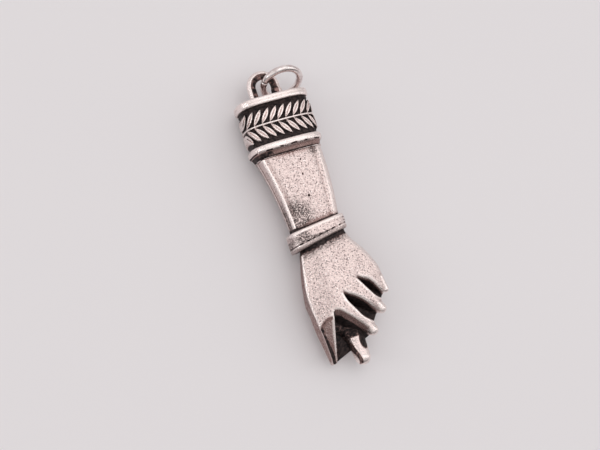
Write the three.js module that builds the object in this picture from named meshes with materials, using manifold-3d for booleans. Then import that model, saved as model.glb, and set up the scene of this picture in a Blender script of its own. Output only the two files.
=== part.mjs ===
// A figa pendant: a small cast arm and fist with a collar cap, a loop and a split ring.
// Sizes are in millimetres. It lies on its back: x runs across the arm, y runs up the
// arm towards the ring, z comes out of the front, which shows the back of the hand.
import * as THREE from 'three';
import { mergeVertices } from 'three/addons/utils/BufferGeometryUtils.js';
import Module from 'manifold-3d';

const wasm = await Module();
wasm.setup();

// Collar cap, with its top face at y = 0 and the middle of its depth at z = 0
const capWidth = 12.0;
const capDepth = 7.9;
const capPower = 3.0;
const bandHeight = 6.3;
const topRimHeight = 1.25;
const lowRimHeight = 1.05;
const rimRound = 0.22;
const bandRecess = 0.5;
const sidePanelWidth = 1.8;
const grooveDepth = 0.3;
const grooveHeight = 0.42;
const sidePanelInset = 0.2;
const coveHeight = 0.95;
const coveDrop = 0.5;
const backFlat = 0.1;

// Frieze on the front and back of the band: a stem with slanting leaves above and below
const leafCount = 11;
const leafPitch = 1.3;
const leafLength = 3.0;
const leafWidth = 0.82;
const leafSlant = THREE.MathUtils.degToRad(37);
const stemWidth = 0.4;
const stemInset = 0.24;
const reliefTrim = 0.1;

// Forearm, leaning a little to the right as it goes down
const forearmTopWidth = 10.65;
const forearmTopDepth = 5.9;
const wristWidth = 8.3;
const wristDepth = 4.6;
const forearmLength = 11.85;
const forearmLean = 0.55;
const bevelWidth = 1.1;
const sideLean = 0.1;
const faceBow = 0.012;
const fluteWidth = 1.2;
const fluteDepth = 0.14;
const tenonPower = 4.5;
const tenonShoulder = 0.9;
const tenonLength = 5.0;
const seatClearance = 0.08;

// Seam of solder round the forearm under the cap
const seamWidth = 0.28;
const seamHeight = 0.34;

// Cuff band at the wrist, higher on its left and slanting
const cuffWall = 0.62;
const cuffLeftHeight = 3.1;
const cuffRightHeight = 2.5;
const cuffSlant = 0.11;
const cuffPower = 3.6;
const cuffEdgeRound = 0.3;

// Hand, measured from the middle of the wrist where the cuff ends: pairs of a place down the
// hand and a value there, then the slots between the fingers and the tips of the fingers
const neckInset = 0.35;
const neckLength = 0.8;
const frontHeights = [[-2.1, 2.6], [-4.1, 2.85], [-7.1, 3.05], [-9.1, 3.05], [-12.1, 2.95], [-16.1, 2.7]];
const backDepths = [[-1.5, 2.2], [-3.6, 2.9]];
const leftEdges = [[-1.1, -3.75], [-5.6, -4.65], [-7.8, -4.95], [-10, -4.85], [-12.8, -4.35], [-19.1, -3.6]];
const rightEdges = [[-0.1, 4.05], [-1.6, 4.65], [-3.5, 5.9], [-7.5, 7.55], [-11.1, 8.35]];
const leftFalls = [[-0.1, 0.13], [-6.1, 0.084]];
const rightFall = 0.01;
const fingerFall = 0.033;
const knuckleReach = 5.2;
const tipsReach = 12.8;
const fistLength = 16.95;
const fistEndAcross = 0.342;
const fistEndDown = -0.94;
const backBow = 0.05;
const palmRound = 1.0;
const sideFlare = 0.2;
const cornerRadius = 0.65;
const slots = [
  {
    near: [[2.85, -7.2], [4.3, -9.5], [5.8, -11.3], [8.3, -12.3]],
    far: [[2.85, -7.1], [6.1, -8.2], [8.1, -11.0], [9.0, -12.3]],
    flank: 0.27,
    floor: 0.1,
  },
  {
    near: [[0.05, -8.8], [0.5, -10.6], [2.65, -13.7], [5.9, -15.6]],
    far: [[0.05, -8.8], [3.2, -10.75], [6.6, -14.6]],
    flank: 0.39,
    floor: -0.1,
  },
  {
    near: [[-2.1, -11.4], [-3.45, -19.1]],
    far: [[-3.6, -11.2], [-1.1, -11.35], [1.25, -13.5], [4.6, -17.1]],
    flank: 0.78,
    floor: -1.3,
  },
];
const nearLean = 0.12;
const farLean = 0.35;
const flankLean = 1.1;
const rampLength = 1.6;
const fingertips = [
  { x: 7.8, y: -10.45, z: 0.35, radius: 0.58 },
  { x: 6.28, y: -13.15, z: 0.4, radius: 0.8 },
  { x: 3.7, y: -15.85, z: 0.4, radius: 0.86 },
];
const fingerJoint = { x: -1.25, y: 2, z: 0.7 };
const fingerTurn = { x: -0.2, y: 0.3, z: 0 };
const fingerTurnShare = 0.75;
const foldRadius = 1.1;
const fingerFold = [
  { x: -0.5, y: 0.6, z: -1.9, radius: foldRadius * 0.87 },
  { x: -1.8, y: 2.8, z: -3, radius: foldRadius },
  { x: -2.7, y: 4.6, z: -2.5, radius: foldRadius * 0.82 },
];
const indexFold = [
  { x: -3.05, y: -18.1, z: -1.5, radius: foldRadius * 0.7 },
  { x: -2.65, y: -16.5, z: -2.3, radius: foldRadius },
  { x: -1.95, y: -14.1, z: -2.75, radius: foldRadius },
  { x: -1.35, y: -11.9, z: -2.4, radius: foldRadius * 0.87 },
];
const indexBend = { x: -2.23, y: -12.5, z: 2.6 };
const indexFlatLean = { x: -0.293, y: -0.403, z: 0.868 };
const thumb = [
  { x: -2.55, y: -2.1, z: -1.1, radius: 1.6 },
  { x: -3.15, y: -5.6, z: -1.6, radius: 2.1 },
  { x: -3.45, y: -9.4, z: -1.75, radius: 2.15 },
  { x: -2.95, y: -12.6, z: -1.8, radius: 1.9 },
  { x: -0.8, y: -14.5, z: -1.9, radius: 1.35 },
  { x: 0.95, y: -17.0, z: -0.7, radius: 1.4 },
  { x: 1.02, y: -19.75, z: -0.4, radius: 1.12 },
];

// Loop on the cap and the split ring through it
const loopX = -0.35;
const loopHoleWidth = 2.5;
const loopWire = 1.45;
const loopCentreHeight = 2.12;
const loopFootWidth = 1.95;
const loopFootHeight = 0.5;
const ringWire = 1.1;
const ringInside = 5.2;
const ringTilt = THREE.MathUtils.degToRad(27.5);
const ringCut = 0.1;
const ringCutAngle = THREE.MathUtils.degToRad(158);

// Fineness of the round forms
const capSides = 32;
const armSides = 20;
const fingerSides = 12;
const palmSteps = 14;
const endAngles = [40, 75].map(THREE.MathUtils.degToRad);
const wireSides = 10;

const pewter = { color: 0xb7b1ad, roughness: 0.42, metalness: 1.0 };
const wireSilver = { color: 0xd6d2ce, roughness: 0.25, metalness: 1.0 };
const solderGrey = { color: 0xa89f92, roughness: 0.55, metalness: 1.0 };

// Helpers: closed lofts through rings of points, and joins and cuts

function signedVolume(points, faces) {
  let volume = 0;
  for (let start = 0; start < faces.length; start += 3) {
    const [a, b, c] = faces.slice(start, start + 3).map((index) => points[index]);
    volume += a.dot(b.clone().cross(c)) / 6;
  }
  return volume;
}

function loft(rings) {
  const count = rings[0].length;
  const positions = rings.flat().flatMap((point) => point.toArray());
  const faces = [];
  for (let level = 0; level < rings.length - 1; level += 1) {
    for (let side = 0; side < count; side += 1) {
      const here = level * count + side;
      const next = level * count + ((side + 1) % count);
      faces.push(here, next, next + count, here, next + count, here + count);
    }
  }
  const last = (rings.length - 1) * count;
  for (let side = 1; side < count - 1; side += 1) {
    faces.push(0, side + 1, side, last, last + side, last + side + 1);
  }
  if (signedVolume(rings.flat(), faces) < 0) faces.reverse();
  const geometry = new THREE.BufferGeometry();
  geometry.setAttribute('position', new THREE.Float32BufferAttribute(positions, 3));
  geometry.setIndex(faces);
  return geometry;
}

// A superellipse in the plane of two axes, with a flat side on each axis at its full size
function section(centre, across, up, halfWidth, halfHeight, power, sides) {
  const points = [];
  const reach = (part) => Math.sign(part) * Math.abs(part) ** (2 / power);
  const full = reach(Math.cos(Math.PI / sides));
  for (let side = 0; side < sides; side += 1) {
    const angle = ((side + 0.5) / sides) * 2 * Math.PI;
    points.push(centre.clone()
      .addScaledVector(across, (halfWidth / full) * reach(Math.cos(angle)))
      .addScaledVector(up, (halfHeight / full) * reach(Math.sin(angle))));
  }
  return points;
}

function solidOf(geometry) {
  const bare = geometry.clone();
  bare.deleteAttribute('normal');
  bare.deleteAttribute('uv');
  const merged = mergeVertices(bare, 1e-5);
  const mesh = new wasm.Mesh({
    numProp: 3,
    vertProperties: new Float32Array(merged.attributes.position.array),
    triVerts: new Uint32Array(merged.index.array),
  });
  return new wasm.Manifold(mesh);
}

function geometryOf(solid) {
  const mesh = solid.getMesh();
  const geometry = new THREE.BufferGeometry();
  geometry.setAttribute('position', new THREE.BufferAttribute(mesh.vertProperties, 3));
  geometry.setIndex(new THREE.BufferAttribute(mesh.triVerts, 1));
  geometry.computeVertexNormals();
  return geometry;
}

const joined = (solids) => solids.reduce((whole, piece) => whole.add(piece));

// Fills the tiny sealed hollows that a join can leave between round forms
const withoutHollows = (solid) => joined(solid.decompose().filter((body) => body.volume() > 0));

function piece(name, solid, finish) {
  const mesh = new THREE.Mesh(geometryOf(solid), new THREE.MeshStandardMaterial(finish));
  mesh.name = name;
  return mesh;
}

const acrossAxis = new THREE.Vector3(1, 0, 0);
const frontAxis = new THREE.Vector3(0, 0, 1);

// Places along the arm, all from the same lengths
const capHeight = topRimHeight + bandHeight + lowRimHeight;
const capUnderside = -(capHeight + coveHeight);
const cuffTop = capUnderside - forearmLength;
const handTop = cuffTop - cuffRightHeight;
const restDepth = capDepth / 2 - backFlat;
const bandTop = -topRimHeight;
const bandFoot = bandTop - bandHeight;

// Collar cap

function capSection(y, inset) {
  const ring = section(new THREE.Vector3(0, y, 0), acrossAxis, frontAxis,
    capWidth / 2 - inset, capDepth / 2 - inset, capPower, capSides);
  ring.forEach((point) => { point.z = Math.max(point.z, inset - restDepth); });
  return ring;
}

// The plain form: two rims, a groove beside each, plain side panels and a cove beneath
function capBody() {
  return solidOf(loft([
    capSection(capUnderside, coveDrop),
    capSection(-capHeight, rimRound / 2),
    capSection(rimRound - capHeight, 0),
    capSection(bandFoot - rimRound / 2, 0),
    capSection(bandFoot, rimRound / 2),
    capSection(bandFoot, grooveDepth),
    capSection(bandFoot + grooveHeight, grooveDepth),
    capSection(bandFoot + grooveHeight, sidePanelInset),
    capSection(bandTop - grooveHeight, sidePanelInset),
    capSection(bandTop - grooveHeight, grooveDepth),
    capSection(bandTop, grooveDepth),
    capSection(bandTop, rimRound / 2),
    capSection(bandTop + rimRound / 2, 0),
    capSection(-rimRound, 0),
    capSection(0, rimRound),
  ]));
}

// What is taken out of the band's front and back to leave the ground of the frieze
function friezeWindows() {
  const outside = solidOf(loft([capSection(bandFoot, -1), capSection(bandTop, -1)]));
  const ground = solidOf(loft([
    capSection(bandFoot - 1, bandRecess), capSection(bandTop + 1, bandRecess),
  ]));
  const sidePanels = new THREE.BoxGeometry(2 * capWidth, 3 * capHeight, sidePanelWidth);
  return outside.subtract(ground).subtract(solidOf(sidePanels));
}

// A pointed leaf between two arcs, as a closed outline
function leafPoints() {
  const radius = (leafWidth ** 2 + leafLength ** 2) / (4 * leafWidth);
  const half = Math.asin(leafLength / (2 * radius));
  const steps = 4;
  const points = [];
  for (const turn of [1, -1]) {
    for (let step = 0; step < steps; step += 1) {
      const angle = half * ((2 * step) / steps - 1);
      points.push(new THREE.Vector2(
        turn * (radius * Math.cos(angle) - radius + leafWidth / 2),
        turn * radius * Math.sin(angle),
      ));
    }
  }
  return points;
}

function leaf(matrix) {
  const depth = 3 * bandRecess;
  const shape = new THREE.Shape(leafPoints());
  const geometry = new THREE.ExtrudeGeometry(shape, { depth, bevelEnabled: false });
  return solidOf(geometry.translate(0, 0, -depth / 2).applyMatrix4(matrix));
}

// Where a leaf sits: along the band's outline from the middle of its face
function bandPlace(along, face) {
  const halfWidth = capWidth / 2 - bandRecess;
  const halfDepth = capDepth / 2 - bandRecess;
  const steps = 400;
  const at = (x) => new THREE.Vector2(x,
    halfDepth * (1 - (x / halfWidth) ** capPower) ** (1 / capPower));
  let here = at(0);
  let gone = 0;
  for (let step = 1; gone < Math.abs(along) && step < steps; step += 1) {
    const next = at((step / steps) * halfWidth);
    gone += next.distanceTo(here);
    here = next;
  }
  const slope = Math.atan2((here.x / halfWidth) ** (capPower - 1) / halfWidth,
    (here.y / halfDepth) ** (capPower - 1) / halfDepth);
  const side = Math.sign(along);
  const turn = face > 0 ? side * slope : Math.PI - side * slope;
  return new THREE.Matrix4().makeRotationY(turn).setPosition(
    side * here.x, (bandTop + bandFoot) / 2, face * here.y);
}

function frieze() {
  const leaves = [];
  const rise = stemWidth / 4 + (Math.cos(leafSlant) * leafLength) / 2;
  for (const face of [1, -1]) {
    for (let index = 0; index < leafCount; index += 1) {
      const along = (index - (leafCount - 1) / 2) * leafPitch;
      for (const up of [1, -1]) {
        const lean = new THREE.Matrix4().makeRotationZ(-face * up * leafSlant);
        leaves.push(leaf(bandPlace(along, face)
          .multiply(new THREE.Matrix4().makeTranslation(0, up * rise, 0)).multiply(lean)));
      }
    }
  }
  const envelope = solidOf(loft([
    capSection(bandFoot, reliefTrim), capSection(bandTop, reliefTrim),
  ]));
  const middle = (bandTop + bandFoot) / 2;
  const stem = solidOf(loft([
    capSection(middle - stemWidth / 2, stemInset), capSection(middle + stemWidth / 2, stemInset),
  ]));
  return joined(leaves).intersect(envelope).add(stem);
}

// Forearm and the places where the seam and cuff close round it

function armHalf(y) {
  const share = THREE.MathUtils.clamp((capUnderside - y) / forearmLength, 0, 1);
  const width = THREE.MathUtils.lerp(forearmTopWidth, wristWidth, share);
  const depth = THREE.MathUtils.lerp(forearmTopDepth, wristDepth, share);
  return { width: width / 2, depth: depth / 2, x: forearmLean * share };
}

// The forearm's outline: bowed faces with a flute near each edge, bevels and leaning sides
function armSection(y, grow = 0) {
  const { width, depth, x } = armHalf(y);
  const halfWidth = width + grow;
  const halfDepth = depth + grow;
  const bevel = bevelWidth + (2 - Math.SQRT2) * grow;
  const face = (across) => halfDepth - faceBow * across ** 2;
  const edge = halfWidth - bevel + faceBow * (halfWidth - bevel) ** 2;
  const quarter = [
    [halfWidth, 0],
    [halfWidth - sideLean * (halfDepth - bevel), halfDepth - bevel],
    [edge, face(edge)],
    [edge - fluteWidth / 2, face(edge - fluteWidth / 2) - fluteDepth],
    [edge - fluteWidth, face(edge - fluteWidth)],
    [0, face(0)],
  ];
  const front = [...quarter, ...quarter.slice(0, -1).reverse().map(([across, up]) => [-across, up])];
  const back = front.slice(1, -1).reverse().map(([across, up]) => [across, -up]);
  return [...front, ...back].map(([across, up]) => new THREE.Vector3(x + across, y, up));
}

// The tenon that stands up into the cap, or its socket when it is grown by the clearance
function tenon(grow) {
  const { width, depth } = armHalf(capUnderside);
  const ring = (y) => section(new THREE.Vector3(0, y, 0), acrossAxis, frontAxis,
    width - tenonShoulder + grow, depth - tenonShoulder + grow, tenonPower, armSides);
  return solidOf(loft([ring(capUnderside - tenonShoulder), ring(capUnderside + tenonLength + grow)]));
}

function solderSeam() {
  const outer = loft([
    armSection(capUnderside - seamHeight, seamWidth * 0.45),
    armSection(capUnderside - seamHeight / 2, seamWidth),
    armSection(capUnderside, seamWidth),
  ]);
  const inner = loft([
    armSection(capUnderside - 2 * seamHeight, seatClearance),
    armSection(capUnderside + seamHeight, seatClearance),
  ]);
  return solidOf(outer).subtract(solidOf(inner));
}

// The wrist band lies between two slanting planes
function wristCuff() {
  const middleX = armHalf(cuffTop).x;
  const spread = (cuffLeftHeight - cuffRightHeight) / wristWidth;
  const cuffRing = (y, slant, grow) => section(new THREE.Vector3(middleX, y, 0),
    new THREE.Vector3(1, slant, 0), frontAxis,
    wristWidth / 2 + grow, wristDepth / 2 + grow, cuffPower, armSides);
  const height = (cuffLeftHeight + cuffRightHeight) / 2;
  const footSlant = cuffSlant + spread;
  const outer = loft([
    cuffRing(cuffTop - height, footSlant, cuffWall - cuffEdgeRound / 2),
    cuffRing(cuffTop - height + cuffEdgeRound, footSlant, cuffWall),
    cuffRing(cuffTop - cuffEdgeRound, cuffSlant, cuffWall),
    cuffRing(cuffTop, cuffSlant, cuffWall - cuffEdgeRound / 2),
  ]);
  const inner = loft([
    armSection(cuffTop - 2 * height, seatClearance),
    armSection(cuffTop + height, seatClearance),
  ]);
  return solidOf(outer).subtract(solidOf(inner));
}

// Hand

// A soft curve through pairs of a falling place and a value there
function curveThrough(pairs) {
  const straight = (place) => {
    const next = pairs.findIndex(([stop]) => stop <= place);
    if (next === 0) return pairs[0][1];
    if (next < 0) return pairs[pairs.length - 1][1];
    const [[from, value], [to, other]] = pairs.slice(next - 1, next + 1);
    return THREE.MathUtils.mapLinear(place, from, to, value, other);
  };
  return (place) => (straight(place - cornerRadius) + 2 * straight(place)
    + straight(place + cornerRadius)) / 4;
}

const neckHalf = { width: wristWidth / 2 - neckInset, depth: wristDepth / 2 - neckInset / 3 };
const frontHeight = curveThrough([[neckLength, neckHalf.depth], ...frontHeights]);
const backDepth = curveThrough([[neckLength, neckHalf.depth], ...backDepths]);
const leftEdge = curveThrough([[neckLength, -neckHalf.width], ...leftEdges]);
const rightEdge = curveThrough([[neckLength, neckHalf.width], ...rightEdges]);
const leftFall = curveThrough(leftFalls);
const fingersAlong = new THREE.Vector3(0.8, -0.6, 0);

// The back of the hand is a dome that falls away to its left and towards the fingertips
function handFront(x, y) {
  const past = Math.max(fingersAlong.x * x + fingersAlong.y * y - knuckleReach, 0);
  return frontHeight(y) - leftFall(y) * Math.min(x, 0) ** 2
    - rightFall * Math.max(x, 0) ** 2 - fingerFall * past ** 2;
}

function mittenSection(y) {
  const left = leftEdge(y);
  const right = Math.min(rightEdge(y), (tipsReach - fingersAlong.y * y) / fingersAlong.x);
  const points = [];
  const add = (x, z) => points.push(new THREE.Vector3(x, y, z));
  const back = (x) => backBow * x ** 2 - backDepth(y);
  const round = Math.min(palmRound, (handFront(right, y) - back(right)) / 3);
  const steps = 6;
  for (let step = 0; step < steps; step += 1) {
    const x = THREE.MathUtils.lerp(left, right - round, step / steps);
    add(x, handFront(x, y));
  }
  for (let step = 0; step <= 3; step += 1) {
    const angle = (step / 3) * (Math.PI / 2);
    const x = right - round * (1 - Math.sin(angle));
    add(x, handFront(x, y) - round * (1 - Math.cos(angle)));
  }
  add(right, back(right) + round / 2);
  add(right - round / 2, back(right));
  add(THREE.MathUtils.lerp(left, right, 0.65), back(THREE.MathUtils.lerp(left, right, 0.65)));
  add(THREE.MathUtils.lerp(left, right, 0.3), back(THREE.MathUtils.lerp(left, right, 0.3)));
  const flare = sideFlare * neckHalf.depth;
  add(left - flare / 2, back(left));
  add(left - flare, back(left) + palmRound / 2);
  add(left, palmRound);
  return points;
}

function mitten() {
  const sections = [];
  const foot = -fistLength - 2 * palmRound - neckLength;
  for (let step = 0; step <= palmSteps; step += 1) {
    sections.push(mittenSection(THREE.MathUtils.lerp(neckLength, foot, step / palmSteps)));
  }
  return solidOf(loft(sections));
}

// A large block that fills the side of a plane that the normal points to
function blockBeyond(point, normal) {
  const size = 4 * fistLength;
  const turn = new THREE.Quaternion().setFromUnitVectors(frontAxis, normal.clone().normalize());
  const block = new THREE.BoxGeometry(size, size, size).translate(0, 0, size / 2);
  return solidOf(block.applyQuaternion(turn).translate(point.x, point.y, point.z));
}

const onFront = ([x, y]) => new THREE.Vector3(x, y, handFront(x, y));

// The space beyond a wall that starts on the hand's front between two points and leans inwards
function spaceBeyond(start, end, turn, lean, shift = 0) {
  const edge = onFront(end).sub(onFront(start));
  const inward = new THREE.Vector3(-edge.y, edge.x, 0).normalize().multiplyScalar(turn);
  const down = inward.clone().multiplyScalar(lean).sub(frontAxis);
  const normal = edge.clone().cross(down);
  if (normal.dot(inward) < 0) normal.negate();
  return blockBeyond(onFront(start).addScaledVector(inward, shift), normal);
}

// A slot between two fingers: steep on its near side, bevelled and steep on its far side
function slotCut({ near, far, flank, floor }) {
  const walls = [blockBeyond(new THREE.Vector3(0, 0, floor), frontAxis)];
  for (let index = 1; index < near.length; index += 1) {
    walls.push(spaceBeyond(near[index - 1], near[index], 1, nearLean));
  }
  for (let index = 1; index < far.length; index += 1) {
    const wall = spaceBeyond(far[index - 1], far[index], -1, farLean, flank);
    walls.push(wall.add(spaceBeyond(far[index - 1], far[index], -1, flankLean)));
  }
  const apex = onFront(near[0]);
  const away = onFront(near[near.length - 1]).add(onFront(far[far.length - 1]))
    .multiplyScalar(0.5).sub(apex).setZ(0).normalize();
  const ramp = away.multiplyScalar(apex.z - floor).addScaledVector(frontAxis, rampLength);
  walls.push(blockBeyond(apex, ramp));
  return walls.reduce((space, wall) => space.intersect(wall));
}

// A round limb through stations with a centre and a radius, with rounded ends
function limb(stations) {
  const centres = stations.map(({ x, y, z }) => new THREE.Vector3(x, y, z));
  const rings = [];
  const addRing = (centre, along, radius) => {
    const across = along.clone().cross(frontAxis).normalize();
    const up = across.clone().cross(along).normalize();
    rings.push(section(centre, across, up, radius, radius, 2, fingerSides));
  };
  const addEnd = (centre, along, radius, angles) => {
    for (const angle of angles) {
      const place = centre.clone().addScaledVector(along, radius * Math.sin(angle));
      addRing(place, along, radius * Math.cos(angle));
    }
  };
  stations.forEach(({ radius }, index) => {
    const before = centres[Math.max(index - 1, 0)];
    const after = centres[Math.min(index + 1, centres.length - 1)];
    const along = after.clone().sub(before).normalize();
    if (index === 0) addEnd(centres[index], along, radius, endAngles.map((angle) => -angle).reverse());
    addRing(centres[index], along, radius);
    if (index === centres.length - 1) addEnd(centres[index], along, radius, endAngles);
  });
  return solidOf(loft(rings));
}

// A finger of the row: its middle joint comes to the tip, and the rest is folded to the palm
function finger(tip) {
  const from = ({ x, y, z }, radius) => ({ x: tip.x + x, y: tip.y + y, z: tip.z + z, radius });
  const joint = limb([from(fingerJoint, tip.radius), tip]);
  const folded = limb([
    from(fingerTurn, tip.radius * fingerTurnShare),
    ...fingerFold.map((station) => from(station, station.radius)),
  ]);
  return joint.add(folded);
}

// The flat where the index finger bends, with its folded end behind it
function indexFlat() {
  const { x, y, z } = indexBend;
  const normal = new THREE.Vector3(indexFlatLean.x, indexFlatLean.y, indexFlatLean.z);
  return blockBeyond(new THREE.Vector3(x, y, z), normal);
}

function hand() {
  const end = new THREE.Vector3(fistEndAcross, fistEndDown, 0);
  const beyondEnd = blockBeyond(end.clone().multiplyScalar(fistLength), end);
  const cuts = [...slots.map(slotCut), indexFlat(), beyondEnd];
  const fist = cuts.reduce((solid, cut) => solid.subtract(cut), mitten());
  const whole = joined([fist, ...fingertips.map(finger), limb(indexFold), limb(thumb)]);
  return whole.translate([armHalf(cuffTop).x, handTop, 0]);
}

function armAndHand() {
  const forearm = solidOf(loft([
    armSection(handTop - neckInset),
    armSection(cuffTop),
    armSection(capUnderside),
  ]));
  const below = blockBeyond(new THREE.Vector3(0, handTop, -restDepth), frontAxis.clone().negate());
  return withoutHollows(joined([tenon(0), forearm, hand()]).subtract(below));
}

// Wire forms: a round wire swept along stations that each have their own frame

function capLoop() {
  const radius = (loopHoleWidth + loopWire) / 2;
  const wire = loopWire / 2;
  const ring = (centre, across, width) => section(centre, across, frontAxis, width, width, 2, wireSides);
  const rings = [
    ring(new THREE.Vector3(loopX - radius, 0, 0), acrossAxis, loopFootWidth / 2),
    ring(new THREE.Vector3(loopX - radius, loopFootHeight, 0), acrossAxis, wire),
  ];
  const steps = 12;
  for (let step = 0; step <= steps; step += 1) {
    const angle = Math.PI * (1 - step / steps);
    const outward = new THREE.Vector3(Math.cos(angle), Math.sin(angle), 0);
    const centre = new THREE.Vector3(loopX, loopCentreHeight, 0).addScaledVector(outward, radius);
    rings.push(ring(centre, outward.negate(), wire));
  }
  rings.push(
    ring(new THREE.Vector3(loopX + radius, loopFootHeight, 0), acrossAxis.clone().negate(), wire),
    ring(new THREE.Vector3(loopX + radius, 0, 0), acrossAxis.clone().negate(), loopFootWidth / 2),
  );
  return solidOf(loft(rings));
}

// The ring is one turn of wire with a closed-up cut, built round its own centre
function splitRing() {
  const radius = (ringInside + ringWire) / 2;
  const gap = ringCut / radius;
  const steps = 40;
  const rings = [];
  for (let step = 0; step <= steps; step += 1) {
    const angle = ringCutAngle + gap / 2 + ((2 * Math.PI - gap) * step) / steps;
    const outward = new THREE.Vector3(Math.cos(angle), Math.sin(angle), 0);
    const centre = outward.clone().multiplyScalar(radius);
    rings.push(section(centre, outward, frontAxis, ringWire / 2, ringWire / 2, 2, wireSides));
  }
  return solidOf(loft(rings));
}

// The whole pendant

const capSolid = capBody().subtract(friezeWindows()).add(frieze()).subtract(tenon(seatClearance));

const ring = piece('jump_ring', splitRing(), wireSilver);
ring.position.x = (ringInside + ringWire) / 2;
const ringHinge = new THREE.Group();
ringHinge.position.set(loopX, loopCentreHeight, 0);
ringHinge.rotation.x = Math.PI / 2 - ringTilt;
ringHinge.add(ring);

const pendant = new THREE.Group();
pendant.add(
  piece('arm_and_hand', armAndHand(), pewter),
  piece('collar_cap', capSolid, pewter),
  piece('solder_seam', solderSeam(), solderGrey),
  piece('wrist_cuff', wristCuff(), pewter),
  piece('eye_loop', capLoop(), pewter),
  ringHinge,
);

// The origin lies under the middle of the pendant, on the surface that it rests on
pendant.updateMatrixWorld(true);
const box = new THREE.Box3().setFromObject(pendant);
pendant.position.set(-(box.min.x + box.max.x) / 2, -(box.min.y + box.max.y) / 2, -box.min.z);

export default pendant;
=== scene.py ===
import math

import bpy
import numpy as np
from mathutils import Matrix, Vector


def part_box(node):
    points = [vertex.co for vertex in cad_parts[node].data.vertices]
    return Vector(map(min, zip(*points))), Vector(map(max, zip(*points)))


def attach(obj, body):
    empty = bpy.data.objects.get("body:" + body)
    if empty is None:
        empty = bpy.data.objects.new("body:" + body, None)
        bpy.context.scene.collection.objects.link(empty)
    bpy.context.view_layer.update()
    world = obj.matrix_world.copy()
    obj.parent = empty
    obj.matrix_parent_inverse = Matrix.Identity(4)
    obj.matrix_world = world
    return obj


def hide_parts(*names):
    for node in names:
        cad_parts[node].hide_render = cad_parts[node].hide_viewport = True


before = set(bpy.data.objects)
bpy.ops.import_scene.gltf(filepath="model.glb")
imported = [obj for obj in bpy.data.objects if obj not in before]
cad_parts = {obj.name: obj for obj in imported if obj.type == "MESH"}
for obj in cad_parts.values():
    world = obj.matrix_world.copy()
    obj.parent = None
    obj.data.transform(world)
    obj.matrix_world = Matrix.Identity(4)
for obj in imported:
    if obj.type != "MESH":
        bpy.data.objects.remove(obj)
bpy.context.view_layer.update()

# The pendant's shapes are worked out in millimetres, in the pendant's own axes:
# x across, y up the arm from the cap's top face, z out of the front from mid-depth.
# Each casting is a signed distance field, turned into a mesh of quads.
# Its marks are shares from 0 to 1 that say how dark a point is from its place: some are the casting's
# patina, many are painted shade, painted shadow and painted reflection.

MM = 0.001

# Heights of the castings, and how far below mid-depth they rest on the floor
CAP_HEIGHT = 8.6
COVE_HEIGHT = 0.95
ARM_TOP = -(CAP_HEIGHT + COVE_HEIGHT)
ARM_LENGTH = 11.85
CUFF_TOP = ARM_TOP - ARM_LENGTH
CUFF_COVER = 2.5
HAND_TOP = CUFF_TOP - CUFF_COVER
REST = 3.85

# The outline of the collar cap
CAP_HALF_WIDTH = 6.0
CAP_HALF_DEPTH = 3.95
CAP_POWER = 3.0

ARM_STEP = 0.085
FINE_STEP = 0.055
WHOLE_STEP = 0.11

cap_low, cap_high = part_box("collar_cap")
ORIGIN = Vector(((cap_low[0] + cap_high[0]) / 2, cap_high[1], cap_high[2] - CAP_HALF_DEPTH * MM))


# Distance shapes: functions of x, y, z arrays in millimetres, negative inside

FAR = np.float32(99)


def smooth_min(a, b, blend):
    overlap = np.maximum(blend - np.abs(a - b), 0) / blend
    return np.minimum(a, b) - overlap * overlap * blend / 4


def smooth_max(a, b, blend):
    return -smooth_min(-a, -b, blend)


def smooth_step(low, high, value):
    share = np.clip((value - low) / (high - low), 0, 1)
    return share * share * (3 - 2 * share)


def within(distance, full, none):
    """1 as far as the distance full from a line or place, and 0 beyond the distance none."""
    return smooth_step(none, full, np.abs(distance))


def bell(distance, width):
    """1 at no distance, with soft flanks as wide as the width."""
    return np.exp(-(distance / width) ** 2)


def ball(x, y, z, middle_x, middle_y, middle_z, radius):
    """Distance from a ball."""
    return np.sqrt((x - middle_x) ** 2 + (y - middle_y) ** 2 + (z - middle_z) ** 2) - radius


def most(first, *others):
    """The largest of several values at each place."""
    for other in others:
        first = np.maximum(first, other)
    return first


def power_section(x, z, half_width, half_depth, power):
    """Distance from a superellipse, good near its outline."""
    u = np.abs(x) / half_width
    v = np.abs(z) / half_depth
    never_zero = 1e-9
    reach = (u ** power + v ** power + never_zero) ** (1 / power)
    slope = np.sqrt((u ** (power - 1) / half_width) ** 2 + (v ** (power - 1) / half_depth) ** 2)
    least_slope = 1e-3
    return (reach - 1) * reach ** (power - 1) / (slope + least_slope)


def smoothed(places, values, width=1.2, pitch=0.1):
    """A smooth curve through given stations, as a function."""
    beyond = 4
    dense = np.arange(min(places) - beyond, max(places) + beyond, pitch)
    order = np.argsort(places)
    raw = np.interp(dense, np.array(places)[order], np.array(values)[order])
    window = np.hanning(int(width / pitch) * 2 + 3)
    padded = np.pad(raw, len(window) // 2, mode="edge")
    soft = np.convolve(padded, window / window.sum(), mode="valid")[: len(dense)]
    return lambda y: np.interp(y, dense, soft).astype(np.float32)


def limb(stations):
    """Round cones through stations (x, y, z, radius)."""
    def distance(x, y, z):
        best = FAR
        for (ax, ay, az, ar), (bx, by, bz, br) in zip(stations, stations[1:]):
            dx, dy, dz = bx - ax, by - ay, bz - az
            along = ((x - ax) * dx + (y - ay) * dy + (z - az) * dz) / (dx * dx + dy * dy + dz * dz)
            along = np.clip(along, 0, 1)
            far = (x - ax - along * dx) ** 2 + (y - ay - along * dy) ** 2 + (z - az - along * dz) ** 2
            best = np.minimum(best, np.sqrt(far) - (ar + (br - ar) * along))
        return best

    return distance


# The forearm, which tapers and leans to the wrist

ARM_TOP_HALF = (5.325, 2.95)
WRIST_HALF = (4.15, 2.3)
ARM_POWER = 4.5
ARM_LEAN = 0.55
ARM_BOW = 0.3
ARM_OVERLAP = 0.6

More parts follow.
